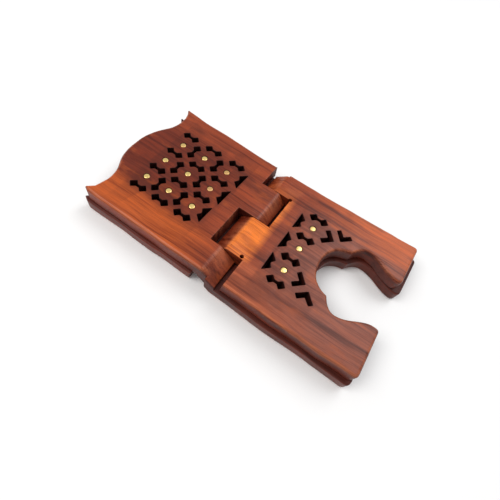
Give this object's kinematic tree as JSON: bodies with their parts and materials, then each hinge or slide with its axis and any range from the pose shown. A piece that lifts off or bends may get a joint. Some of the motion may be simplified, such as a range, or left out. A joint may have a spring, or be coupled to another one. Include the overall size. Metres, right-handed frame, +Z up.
{
  "type": "quran stand",
  "caption": "Folding wooden book stand (rehal) carved from one block, folded flat, with interlocking knuckle hinge, pierced fretwork, brass studs and an arch between its feet.",
  "frame": {"origin": "middle of the underside of the folded stand's box", "axes": "+X from the book boards to the feet, +Y across the stand, +Z up, folded flat"},
  "size_m": [0.3172, 0.1596, 0.03],
  "materials": {
    "dark_sheesham": "satin varnish, dark reddish-brown sheesham with grain along X",
    "red_sheesham": "satin varnish, orange-brown sheesham with grain along X",
    "brass": "brass filed flush and lightly worn"
  },
  "bodies": {
    "under_leaf": {"under_book_leaf": "red_sheesham", "lower_book_stud_1": "brass", "lower_book_stud_2": "brass", "lower_book_stud_3": "brass", "lower_book_stud_4": "brass", "lower_book_stud_5": "brass", "lower_book_stud_6": "brass", "lower_book_stud_7": "brass", "lower_book_stud_8": "brass", "lower_book_stud_9": "brass", "upper_leg_stud_1": "brass", "upper_leg_stud_2": "brass", "upper_leg_stud_3": "brass"},
    "top_leaf": {"top_book_leaf": "dark_sheesham", "upper_book_stud_1": "brass", "upper_book_stud_2": "brass", "upper_book_stud_3": "brass", "upper_book_stud_4": "brass", "upper_book_stud_5": "brass", "upper_book_stud_6": "brass", "upper_book_stud_7": "brass", "upper_book_stud_8": "brass", "upper_book_stud_9": "brass", "lower_leg_stud_1": "brass", "lower_leg_stud_2": "brass", "lower_leg_stud_3": "brass"}
  },
  "joints": [
    {"name": "leaf_hinge", "type": "hinge", "parent": "under_leaf", "child": "top_leaf", "pos_m": [-0.00155, 0, 0.015], "axis": [0, 1, 0], "range_deg": [0, 95]}
  ]
}
